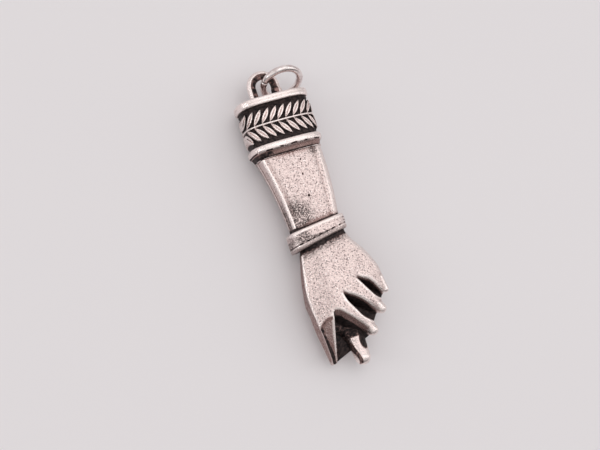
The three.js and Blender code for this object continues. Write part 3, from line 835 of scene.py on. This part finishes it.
def cell_quads(inside, index):
    """One quad round each edge of the grid that the surface crosses."""
    quads = []
    for axis in range(3):
        u, v = [other for other in range(3) if other != axis]
        near = [slice(1, -1)] * 3
        far = [slice(1, -1)] * 3
        near[axis] = slice(0, -1)
        far[axis] = slice(1, None)
        edges = np.argwhere(inside[tuple(near)] != inside[tuple(far)])
        edges[:, u] += 1
        edges[:, v] += 1
        outward = inside[edges[:, 0], edges[:, 1], edges[:, 2]]

        def cell(du, dv):
            spot = edges.copy()
            spot[:, u] -= du
            spot[:, v] -= dv
            return index[spot[:, 0], spot[:, 1], spot[:, 2]]

        ring = np.stack([cell(1, 1), cell(0, 1), cell(0, 0), cell(1, 0)], 1)
        flip = outward if axis != 1 else ~outward
        ring = np.where(flip[:, None], ring, ring[:, ::-1])
        quads.append(ring)
    return np.concatenate(quads)


def surface_of(field):
    """Surface nets: one point in each cell that the surface crosses, one quad for each edge."""
    inside = field.value < 0
    cells, index = crossed_cells(inside)
    return cell_points(field, cells), cell_quads(inside, index)


def settled(field, points):
    """Moves points onto the surface along the field's own slope."""
    least_slope = 0.05
    reach = field.step / 2
    for _ in range(2):
        here = field.at(points)
        slope = np.stack([
            (field.at(points + step) - field.at(points - step)) / (2 * reach)
            for step in np.eye(3) * reach], 1)
        size = np.maximum((slope ** 2).sum(1), least_slope)
        move = (here / size)[:, None] * slope
        points = points - np.clip(move, -reach, reach)
    return points


def blurred(grid, cells):
    """A box blur along each axis, run twice."""
    size = 2 * cells + 1
    for _ in range(2):
        for axis in range(3):
            padding = [(0, 0)] * 3
            padding[axis] = (cells + 1, cells)
            sums = np.cumsum(np.pad(grid, padding, mode="edge"), axis=axis, dtype=np.float64)
            upper = np.take(sums, range(size, sums.shape[axis]), axis=axis)
            lower = np.take(sums, range(0, sums.shape[axis] - size), axis=axis)
            grid = ((upper - lower) / size).astype(np.float32)
    return grid


def placed(name, data):
    """A new object in the scene with this mesh, lamp or camera."""
    made = bpy.data.objects.new(name, data)
    bpy.context.scene.collection.objects.link(made)
    return made


def mesh_object(name, points, quads):
    mesh = bpy.data.meshes.new(name)
    mesh.vertices.add(len(points))
    world = points * MM + np.array(ORIGIN)
    mesh.vertices.foreach_set("co", world.astype(np.float32).ravel())
    mesh.loops.add(quads.size)
    mesh.loops.foreach_set("vertex_index", quads.astype(np.int32).ravel())
    mesh.polygons.add(len(quads))
    mesh.polygons.foreach_set("loop_start", np.arange(0, quads.size, 4, dtype=np.int32))
    mesh.polygons.foreach_set("use_smooth", np.ones(len(quads), bool))
    mesh.update(calc_edges=True)
    mesh.validate()
    return placed(name, mesh)


def store(piece, name, values):
    layer = piece.data.attributes.new(name, "FLOAT", "POINT")
    layer.data.foreach_set("value", values.astype(np.float32))


# Each casting's shape, the box that it lies in and the fineness of its field
SHAPES = {
    "arm_and_hand": (arm_and_hand, (-6.2, -46.2, -4.2), (10.2, ARM_TOP + 0.3, 3.9), ARM_STEP),
    "collar_cap": (collar_cap, (-6.3, ARM_TOP - 0.3, -4.2), (6.3, 0.3, 4.2), FINE_STEP),
    "wrist_cuff": (wrist_cuff, (-4.8, CUFF_TOP - 4.2, -3.4), (5.9, CUFF_TOP + 1.0, 3.4), FINE_STEP),
    "eye_loop": (eye_loop, (-3.5, -0.2, -1.3), (2.8, 5.2, 1.3), FINE_STEP),
    "solder_seam": (solder_seam, (-5.9, ARM_TOP - 0.5, -3.6), (5.9, ARM_TOP + 0.1, 3.6), FINE_STEP),
}

# Each casting's marks, but for the solder, which has none
MARKS = {"arm_and_hand": arm_marks, "collar_cap": cap_marks, "wrist_cuff": cuff_marks,
         "eye_loop": loop_marks}

# How much of the space round a point the castings fill, close by and further out. Where it is high the
# metal
# goes dark: patina in the hollows, and painted shade where the castings meet
WHOLE_LOW = (-6.6, -46.4, -4.4)
WHOLE_HIGH = (10.4, 5.6, 4.4)
NEAR_REACH = 0.28
WIDE_REACH = 0.75

whole = Field(WHOLE_LOW, WHOLE_HIGH, WHOLE_STEP)
for casting, box_low, box_high, _ in SHAPES.values():
    whole.join(casting, box_low, box_high)
filled = np.clip(0.5 - whole.value / WHOLE_STEP, 0, 1)
near_fill = blurred(filled, round(NEAR_REACH / WHOLE_STEP))
wide_fill = blurred(filled, round(WIDE_REACH / WHOLE_STEP))


def cast_piece(name):
    shape, low, high, step = SHAPES[name]
    field = Field(low, high, step).join(shape, low, high)
    points, quads = surface_of(field)
    points = settled(field, points)
    piece = mesh_object(name + "_cast", points, quads)
    store(piece, "hollow_near", whole.at(points, near_fill))
    store(piece, "hollow_wide", whole.at(points, wide_fill))
    places = points.T.astype(np.float32)
    if name in MARKS:
        # The cut attribute holds the marks: patina, and painted shade, painted shadow and painted
        # reflection
        store(piece, "cut", MARKS[name](*places))
    store(piece, "smudge_and_cuff_shadow", smudges_and_cuff_shadow(*places))
    return piece


# The ring through the loop, leaning away from the cap

RING_RADIUS = 3.15
RING_WIRE = 0.55
RING_END = 0.9 * RING_WIRE
RING_TILT = math.radians(27.5)
RING_CUT = 0.1
RING_CUT_ANGLE = math.radians(158)


def tube_faces(turns, sides):
    """Quads along a tube's rings of points, and its ends closed to the two points after them."""
    first = np.arange(turns)[:, None] * sides + np.arange(sides)
    following = np.arange(turns)[:, None] * sides + (np.arange(sides) + 1) % sides
    quads = np.stack([first, following, following + sides, first + sides], -1).reshape(-1, 4)
    faces = [tuple(quad) for quad in quads.tolist()]
    last = turns * sides
    for side in range(sides):
        after = (side + 1) % sides
        faces.append((last + sides, after, side))
        faces.append((last + sides + 1, last + side, last + after))
    return faces


def ring_piece():
    """One turn of round wire through the loop, with a hairline cut where its ends meet."""
    turns, sides = ((180, 28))
    tilt = math.pi / 2 - RING_TILT
    across, along = np.array([1.0, 0, 0]), np.array([0, math.cos(tilt), math.sin(tilt)])
    upward = np.cross(across, along)
    middle = np.array(LOOP) + RING_RADIUS * across
    gap = RING_CUT / RING_RADIUS
    places = RING_CUT_ANGLE + gap / 2 + (2 * math.pi - gap) * np.arange(turns + 1) / turns
    outward = np.cos(places)[:, None] * across + np.sin(places)[:, None] * along
    radius = np.full((turns + 1, 1, 1), RING_WIRE)
    radius[[0, -1]] = RING_END
    round_wire = (2 * math.pi * np.arange(sides) / sides)[None, :, None]
    spread = np.cos(round_wire) * outward[:, None] + np.sin(round_wire) * upward
    points = middle + RING_RADIUS * outward[:, None] + radius * spread
    ends = middle + RING_RADIUS * outward[[0, -1]]
    corners = np.concatenate([points.reshape(-1, 3), ends]) * MM + np.array(ORIGIN)
    faces = tube_faces(turns, sides)
    mesh = bpy.data.meshes.new("jump_ring_wire")
    mesh.from_pydata(corners.tolist(), [], faces)
    mesh.polygons.foreach_set("use_smooth", np.array([len(face) == 4 for face in faces]))
    mesh.update()
    return placed("jump_ring_wire", mesh)


# Materials

def material(name):
    made = bpy.data.materials.new(name)
    made.use_nodes = True
    return made


class Graph:
    """Short names for the nodes that the metals share."""

    def __init__(self, name):
        self.made = material(name)
        self.nodes = self.made.node_tree.nodes
        self.links = self.made.node_tree.links
        self.shader = self.nodes["Principled BSDF"]
        self.place = self.nodes.new("ShaderNodeTexCoord").outputs["Object"]

    def feed(self, socket, source):
        if isinstance(source, (int, float)):
            socket.default_value = source
        elif isinstance(source, tuple):
            socket.default_value = (*source, 1)
        else:
            self.links.new(source, socket)

    def math(self, operation, a, b):
        node = self.nodes.new("ShaderNodeMath")
        node.operation = operation
        node.use_clamp = True
        self.feed(node.inputs[0], a)
        self.feed(node.inputs[1], b)
        return node.outputs[0]

    def plus(self, a, b):
        return self.math("ADD", a, b)

    def minus(self, a, b):
        return self.math("SUBTRACT", a, b)

    def times(self, a, b):
        return self.math("MULTIPLY", a, b)

    def larger(self, a, b):
        return self.math("MAXIMUM", a, b)

    def ramp(self, source, low, high, to_low=0.0, to_high=1.0):
        node = self.nodes.new("ShaderNodeMapRange")
        node.interpolation_type = "SMOOTHSTEP"
        self.feed(node.inputs["Value"], source)
        self.feed(node.inputs["From Min"], low)
        self.feed(node.inputs["From Max"], high)
        self.feed(node.inputs["To Min"], to_low)
        self.feed(node.inputs["To Max"], to_high)
        return node.outputs["Result"]

    def noise(self, size_mm, detail=3.0, rough=0.55):
        node = self.nodes.new("ShaderNodeTexNoise")
        self.feed(node.inputs["Vector"], self.place)
        node.inputs["Scale"].default_value = 1 / (size_mm * MM)
        node.inputs["Detail"].default_value = detail
        node.inputs["Roughness"].default_value = rough
        return node.outputs["Fac"]

    def pits(self, size_mm):
        node = self.nodes.new("ShaderNodeTexVoronoi")
        self.feed(node.inputs["Vector"], self.place)
        node.inputs["Scale"].default_value = 1 / (size_mm * MM)
        return node.outputs["Distance"]

    def attribute(self, name):
        node = self.nodes.new("ShaderNodeAttribute")
        node.attribute_name = name
        return node.outputs["Fac"]

    def mix(self, share, a, b):
        node = self.nodes.new("ShaderNodeMix")
        node.data_type = "RGBA"
        self.feed(node.inputs["Factor"], share)
        self.feed(node.inputs["A"], a)
        self.feed(node.inputs["B"], b)
        return node.outputs["Result"]

    def bump(self, height, depth_mm, strength=1.0):
        node = self.nodes.new("ShaderNodeBump")
        node.inputs["Strength"].default_value = strength
        node.inputs["Distance"].default_value = depth_mm * MM
        self.feed(node.inputs["Height"], height)
        self.links.new(node.outputs["Normal"], self.shader.inputs["Normal"])


# Colours of the metals
SILVER = (0.86, 0.715, 0.68)
WORN = (0.96, 0.85, 0.82)
# The tarnish brown also paints shade and reflection, and the blacks paint shade and shadow as well as
# patina
TARNISH_AND_PAINTED_SHADE = (0.25, 0.14, 0.125)
DULL = (0.52, 0.40, 0.39)
GLINT = (0.98, 0.93, 0.91)
BLACK = (0.009, 0.006, 0.007)
PATINA_AND_SHADE_BLACK = (0.055, 0.036, 0.034)
SPECK = (0.10, 0.075, 0.08)
WIRE = (0.92, 0.85, 0.83)
WIRE_HAZE = (0.66, 0.56, 0.55)


class Pewter(Graph):
    """Blackened cast metal: its noises, and how black, brown or worn it is at each place; its black and
    brown are partly patina and partly painted shade, shadow and reflection.
    """

    def __init__(self, name):
        super().__init__(name)
        self.cut = self.attribute("cut")
        self.near = self.attribute("hollow_near")
        self.grain = self.noise(size_mm=0.15, detail=3, rough=0.6)
        self.mottle = self.noise(size_mm=0.4, detail=4, rough=0.7)
        self.tear = self.noise(size_mm=0.24, detail=4, rough=0.8)
        ragged = self.times(self.ramp(self.grain, 0.3, 0.7), 0.09)
        self.near_ragged = self.plus(self.near, ragged)
        self.wide_ragged = self.plus(self.attribute("hollow_wide"), ragged)

    def black(self):
        """In hollows, as patina and as painted shade where castings meet; on marked places with a torn
        edge, as patina and painted shade and shadow; and in the dark patches with the painted shadow below
        the cuff.
        """
        hollow = self.larger(self.ramp(self.near_ragged, 0.6, 0.7), self.ramp(self.wide_ragged, 0.62, 0.74))
        torn = self.minus(self.cut, self.times(self.ramp(self.mottle, 0.3, 0.7), 0.25))
        smudge_and_cuff_shadow = self.times(self.attribute("smudge_and_cuff_shadow"), self.ramp(self.tear, 0.43, 0.52))
        return self.larger(self.larger(hollow, self.ramp(torn, 0.5, 0.68)), self.times(smudge_and_cuff_shadow, 0.9))

    def brown(self):
        """Tarnish in shallow hollows and, in streaks, on lightly marked places, which are mostly painted
        shade and reflection.
        """
        streaky = self.minus(self.cut, self.times(self.ramp(self.tear, 0.42, 0.58), 0.2))
        return self.larger(self.ramp(self.wide_ragged, 0.55, 0.63), self.ramp(streaky, 0.08, 0.38))

    def worn(self):
        """On edges and crests, unless they are marked."""
        return self.times(self.ramp(self.near, 0.482, 0.42), self.ramp(self.cut, 0.55, 0.3))

    def dots(self):
        """Small pits of the casting, where the grain is coarse."""
        pebbles = self.pits(size_mm=0.32)
        return self.times(self.ramp(pebbles, 0.44, 0.24), self.ramp(self.grain, 0.42, 0.54))


def cast_metal(name, speck=1.0):
    """Blackened cast pewter, rubbed bright where it stands out, with painted shade, shadow and reflection
    in its black and brown.
    """
    g = Pewter(name)
    worn = g.worn()
    unworn = g.minus(1.0, worn)
    deep = g.times(g.black(), unworn)
    brown = g.times(g.brown(), g.times(unworn, 0.88))
    dots = g.dots()
    blotch = g.noise(size_mm=2.4)
    specks = g.times(g.times(dots, g.ramp(blotch, 0.1, 0.6, to_low=0.5)), 0.85 * speck)
    specks = g.minus(specks, g.times(worn, 0.8))
    dull = g.plus(g.times(g.ramp(g.mottle, 0.42, 0.62), 0.4 * speck),
                  g.times(g.ramp(g.tear, 0.45, 0.6), 0.35 * speck))
    glint = g.times(g.ramp(g.pits(size_mm=0.5), 0.22, 0.1), 0.8)
    metal = g.mix(dull, SILVER, DULL)
    for share, colour in ((glint, GLINT), (worn, WORN), (specks, SPECK), (brown, TARNISH_AND_PAINTED_SHADE)):
        metal = g.mix(share, metal, colour)
    black = g.mix(g.ramp(g.mottle, 0.4, 0.6), BLACK, PATINA_AND_SHADE_BLACK)
    g.feed(g.shader.inputs["Base Color"], g.mix(deep, metal, black))
    g.feed(g.shader.inputs["Metallic"], g.ramp(deep, 0.0, 1.0, to_low=1.0, to_high=0.6))
    rough = g.ramp(g.plus(specks, deep), 0.0, 1.0, to_low=0.27, to_high=0.58)
    g.feed(g.shader.inputs["Roughness"], g.minus(rough, g.times(worn, 0.1)))
    relief = g.minus(g.ramp(g.grain, 0.75, 0.3), g.times(dots, 0.5))
    g.bump(relief, depth_mm=0.03, strength=0.7 * speck)
    return g.made


def wire_metal(name):
    """Drawn wire with a brushed, slightly worn shine."""
    g = Graph(name)
    haze = g.noise(size_mm=0.8, detail=4)
    scratches = g.noise(size_mm=0.16, detail=2)
    g.feed(g.shader.inputs["Base Color"], g.mix(g.ramp(haze, 0.4, 0.7), WIRE, WIRE_HAZE))
    g.feed(g.shader.inputs["Metallic"], 1.0)
    g.feed(g.shader.inputs["Roughness"], g.ramp(haze, 0.3, 0.7, to_low=0.16, to_high=0.32))
    g.bump(scratches, depth_mm=0.01, strength=0.5)
    return g.made


arm_metal = cast_metal("arm_pewter")
cap_metal = cast_metal("cap_pewter", speck=0.95)
loop_metal = cast_metal("loop_pewter", speck=1.2)
seam_metal = cast_metal("seam_solder")
ring_metal = wire_metal("ring_silver")

for name, metal in (("arm_and_hand", arm_metal), ("collar_cap", cap_metal),
                    ("wrist_cuff", arm_metal), ("eye_loop", loop_metal), ("solder_seam", seam_metal)):
    piece = cast_piece(name)
    piece.data.materials.append(metal)
    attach(piece, "charm")
    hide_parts(name)

ring = ring_piece()
ring.data.materials.append(ring_metal)
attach(ring, "ring")
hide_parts("jump_ring")


# Camera, floor and light

# Where the camera stands from the cap's top, the directions behind it and to its right, and
# its lens
CAMERA_SPOT = Vector((-53.056, -39.378, 170.917))
CAMERA_BACK = Vector((-0.28642, -0.10349, 0.9525))
CAMERA_RIGHT = Vector((0.91927, -0.30986, 0.24276))
CAMERA_LENS = 68.308
CAMERA_SENSOR = 36
CAMERA_NEAREST = 10

FLOOR_HALF = 1500
FLOOR_DROP = 0.02
FLOOR_PALE = (0.84, 0.81, 0.825)
FLOOR_ROUGH = 0.8

# Each lamp's place and size in metres, and its power in watts
LAMPS = {"overhead": ((0.09, 0.1, 0.6), (0.42, 0.42), 0.4),
         "right": ((0.45, -0.12, 0.24), (0.2, 0.5), 0.35),
         "left": ((-0.4, 0.08, 0.2), (0.14, 0.14), 0.18)}

# The sky's colour, the direction in which it brightens, where along that, and its strengths
SKY_WHITE = (1.0, 0.98, 0.975)
SKY_UP = (0.0, 0.35, 0.94)
SKY_EDGE = (0.05, 0.6)
SKY_STRENGTH = (0.14, 0.8)


def add_camera():
    data = bpy.data.cameras.new("camera")
    data.sensor_width = CAMERA_SENSOR
    data.lens = CAMERA_LENS
    data.clip_start = CAMERA_NEAREST * MM
    camera = placed("camera", data)
    back = CAMERA_BACK.normalized()
    right = (CAMERA_RIGHT - back * CAMERA_RIGHT.dot(back)).normalized()
    up = back.cross(right)
    turn = Matrix((right, up, back)).transposed().to_4x4()
    turn.translation = ORIGIN + CAMERA_SPOT * MM
    camera.matrix_world = turn
    bpy.context.scene.camera = camera


def add_floor():
    """A pale plane just under the pendant."""
    mesh = bpy.data.meshes.new("floor")
    half = FLOOR_HALF * MM
    corners = [(-half, -half, 0), (half, -half, 0), (half, half, 0), (-half, half, 0)]
    mesh.from_pydata(corners, [], [(0, 1, 2, 3)])
    floor = placed("floor", mesh)
    floor.location.z = -FLOOR_DROP * MM
    pale = material("floor_pale")
    shader = pale.node_tree.nodes["Principled BSDF"]
    shader.inputs["Base Color"].default_value = (*FLOOR_PALE, 1)
    shader.inputs["Roughness"].default_value = FLOOR_ROUGH
    floor.data.materials.append(pale)


def add_lamp(name, spot, size, power):
    """A soft rectangular lamp that points at the middle of the pendant."""
    data = bpy.data.lights.new(name, "AREA")
    data.shape = "RECTANGLE"
    data.size, data.size_y = size
    data.energy = power
    lamp = placed(name, data)
    lamp.location = spot
    lamp.rotation_euler = (-Vector(spot)).to_track_quat("-Z", "Y").to_euler()


def add_world():
    """A soft sky, brighter above and beyond the loop."""
    world = bpy.data.worlds.new("studio")
    world.use_nodes = True
    nodes, links = world.node_tree.nodes, world.node_tree.links
    place = nodes.new("ShaderNodeTexCoord")
    lean = nodes.new("ShaderNodeVectorMath")
    lean.operation = "DOT_PRODUCT"
    lean.inputs[1].default_value = SKY_UP
    links.new(place.outputs["Generated"], lean.inputs[0])
    shade = nodes.new("ShaderNodeMapRange")
    shade.interpolation_type = "SMOOTHSTEP"
    shade.inputs["From Min"].default_value, shade.inputs["From Max"].default_value = SKY_EDGE
    shade.inputs["To Min"].default_value, shade.inputs["To Max"].default_value = SKY_STRENGTH
    links.new(lean.outputs["Value"], shade.inputs["Value"])
    nodes["Background"].inputs["Color"].default_value = (*SKY_WHITE, 1)
    links.new(shade.outputs["Result"], nodes["Background"].inputs["Strength"])
    bpy.context.scene.world = world


add_camera()
add_floor()
for lamp_name, (spot, size, power) in LAMPS.items():
    add_lamp(lamp_name, spot, size, power)
add_world()
bpy.context.scene.view_settings.view_transform = "Standard"
